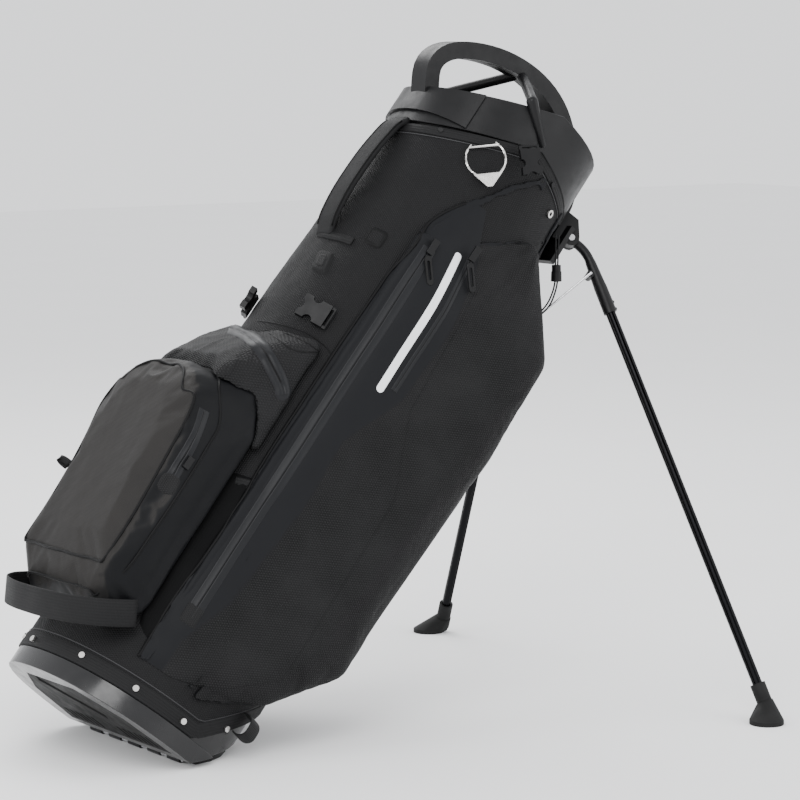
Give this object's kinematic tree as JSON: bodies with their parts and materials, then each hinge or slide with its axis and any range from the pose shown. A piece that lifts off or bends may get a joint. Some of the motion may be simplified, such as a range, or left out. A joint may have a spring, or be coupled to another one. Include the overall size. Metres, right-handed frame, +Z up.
{
  "type": "golf stand bag",
  "caption": "Leaning golf stand bag with a padded top handle, divided mouth, zipped pockets, and two coupled prop legs worked by a hinged heel plate.",
  "frame": {"origin": "on the floor, in the middle of the heel plate's underside", "axes": "+Z up, +X from the base towards the feet, +Y towards the bag's left-hand side"},
  "size_m": [0.808, 0.7, 0.7816],
  "materials": {
    "charcoal_fabric": "matte coated woven polyester",
    "black_fabric": "smooth stretch knit and nylon webbing",
    "moulded_black": "satin moulded polypropylene",
    "reflective_white": "satin reflective tape",
    "nickel": "satin nickel",
    "spring_steel": "bright wire",
    "anodised_black": "satin black anodised",
    "black_rubber": "matte"
  },
  "bodies": {
    "bag": {"base_tray": "moulded_black", "base_tread": "black_rubber", "base_rivets": "moulded_black", "heel_pin": "spring_steel", "body_shell": "charcoal_fabric", "cuff_ring": "moulded_black", "cuff_rivets": "moulded_black", "cuff_eyelets": "nickel", "top_dividers": "moulded_black", "stay_rods": "black_fabric", "top_handle": "moulded_black", "leg_bracket": "moulded_black", "leg_pins": "spring_steel", "spine_handle": "black_fabric", "spine_patches": "black_fabric", "towel_tab": "black_fabric", "cuff_strap": "black_fabric", "strap_tabs": "black_fabric", "apparel_pocket_right": "charcoal_fabric", "apparel_pocket_left": "charcoal_fabric", "reflective_stripes": "reflective_white", "long_zips": "black_fabric", "zip_garages": "black_fabric", "valuables_zips": "black_fabric", "ball_pocket": "charcoal_fabric", "ball_zip": "black_fabric", "shoulder_pocket": "charcoal_fabric", "shoulder_zip": "black_fabric", "stretch_pockets": "black_fabric", "stretch_bindings": "black_fabric", "lower_carry_loop": "black_fabric", "base_pull_loop": "black_fabric", "hip_pad": "charcoal_fabric", "actuator_guide": "moulded_black", "retainer_cord": "black_fabric", "cord_lock": "moulded_black"},
    "heel_plate": {"heel_plate": "moulded_black"},
    "actuator": {"actuator_rod": "spring_steel"},
    "link_right": {"actuator_link_right": "spring_steel"},
    "link_left": {"actuator_link_left": "spring_steel"},
    "leg_right": {"leg_elbow_right": "moulded_black", "leg_tube_right": "anodised_black", "leg_foot_right": "black_rubber"},
    "leg_left": {"leg_elbow_left": "moulded_black", "leg_tube_left": "anodised_black", "leg_foot_left": "black_rubber"},
    "towel_ring": {"towel_ring": "nickel"},
    "cuff_buckle": {"cuff_buckle": "moulded_black"},
    "strap_buckle_right": {"strap_buckle_right": "moulded_black"},
    "strap_buckle_left": {"strap_buckle_left": "moulded_black"},
    "long_slider_right": {"long_zip_slider_right": "moulded_black"},
    "long_slider_left": {"long_zip_slider_left": "moulded_black"},
    "long_pull_right": {"long_zip_pull_right": "black_fabric"},
    "long_pull_left": {"long_zip_pull_left": "black_fabric"},
    "valuables_slider_right": {"valuables_slider_right": "moulded_black"},
    "valuables_slider_left": {"valuables_slider_left": "moulded_black"},
    "ball_slider": {"ball_zip_slider": "moulded_black"},
    "lock_button": {"cord_lock_button": "moulded_black"}
  },
  "joints": [
    {"name": "leg_right_fold", "type": "hinge", "parent": "bag", "child": "leg_right", "pos_m": [0.53526, -0.047, 0.54572], "axis": [0.4321, 0.829, -0.3549], "range_deg": [0, 52]},
    {"name": "leg_left_fold", "type": "hinge", "parent": "bag", "child": "leg_left", "pos_m": [0.53526, 0.047, 0.54572], "axis": [-0.4321, 0.829, 0.3549], "range_deg": [0, 52]},
    {"name": "heel_plate_swing", "type": "hinge", "parent": "bag", "child": "heel_plate", "pos_m": [-0.045, 0, 0.0033], "axis": [0, 1, 0], "range_deg": [0, 39.4]},
    {"name": "actuator_slide", "type": "slide", "parent": "bag", "child": "actuator", "axis": [-0.6347, 0, -0.7727], "range_m": [0, 0.03]},
    {"name": "link_right_turn", "type": "hinge", "parent": "leg_right", "child": "link_right", "pos_m": [0.54141, -0.0796, 0.50806], "axis": [0.4321, 0.829, -0.3549], "range_deg": [-63.05, 0]},
    {"name": "link_left_turn", "type": "hinge", "parent": "leg_left", "child": "link_left", "pos_m": [0.54141, 0.0796, 0.50806], "axis": [-0.4321, 0.829, 0.3549], "range_deg": [-63.05, 0]},
    {"name": "long_zip_right_slide", "type": "slide", "parent": "bag", "child": "long_slider_right", "axis": [-0.6476, -0.0098, -0.7619], "range_m": [0, 0.46]},
    {"name": "long_pull_right_swing", "type": "hinge", "parent": "long_slider_right", "child": "long_pull_right", "pos_m": [0.27541, -0.1139, 0.54253], "axis": [-0.2388, -0.9511, 0.1961], "range_deg": [-15, 15]},
    {"name": "valuables_zip_right_slide", "type": "slide", "parent": "bag", "child": "valuables_slider_right", "axis": [-0.6277, -0.0265, -0.778], "range_m": [0, 0.16]},
    {"name": "long_zip_left_slide", "type": "slide", "parent": "bag", "child": "long_slider_left", "axis": [-0.6476, 0.0098, -0.7619], "range_m": [0, 0.46]},
    {"name": "long_pull_left_swing", "type": "hinge", "parent": "long_slider_left", "child": "long_pull_left", "pos_m": [0.27541, 0.1139, 0.54253], "axis": [-0.2388, 0.9511, 0.1961], "range_deg": [-15, 15]},
    {"name": "valuables_zip_left_slide", "type": "slide", "parent": "bag", "child": "valuables_slider_left", "axis": [-0.6277, 0.0265, -0.778], "range_m": [0, 0.16]},
    {"name": "ball_zip_slide", "type": "slide", "parent": "bag", "child": "ball_slider", "axis": [-0.6347, 0, -0.7727], "range_m": [0, 0.06]},
    {"name": "towel_ring_swing", "type": "hinge", "parent": "bag", "child": "towel_ring", "pos_m": [0.36817, -0.09601, 0.66278], "axis": [-0.886, 0.4542, -0.0937], "range_deg": [0, 70]},
    {"name": "cuff_buckle_swing", "type": "hinge", "parent": "bag", "child": "cuff_buckle", "pos_m": [0.41709, -0.11667, 0.66224], "axis": [-0.9349, 0.3508, -0.0535], "range_deg": [0, 60]},
    {"name": "strap_buckle_right_swing", "type": "hinge", "parent": "bag", "child": "strap_buckle_right", "pos_m": [0.16402, -0.08134, 0.47407], "axis": [0.6347, 0, 0.7727], "range_deg": [0, 60]},
    {"name": "strap_buckle_left_swing", "type": "hinge", "parent": "bag", "child": "strap_buckle_left", "pos_m": [0.16402, 0.08134, 0.47407], "axis": [-0.6347, 0, -0.7727], "range_deg": [0, 60]},
    {"name": "lock_button_press", "type": "slide", "parent": "bag", "child": "lock_button", "axis": [0, 0, -1], "range_m": [0, 0.003], "stiffness_N_per_m": 150}
  ],
  "couplings": [
    {"joint": "leg_left_fold", "follows": "leg_right_fold", "ratio": 1},
    {"joint": "heel_plate_swing", "follows": "leg_right_fold", "ratio": 0.75769},
    {"joint": "actuator_slide", "follows": "leg_right_fold", "m_per_rad": 0.033055},
    {"joint": "link_right_turn", "follows": "leg_right_fold", "ratio": -1.2125},
    {"joint": "link_left_turn", "follows": "leg_right_fold", "ratio": -1.2125}
  ]
}
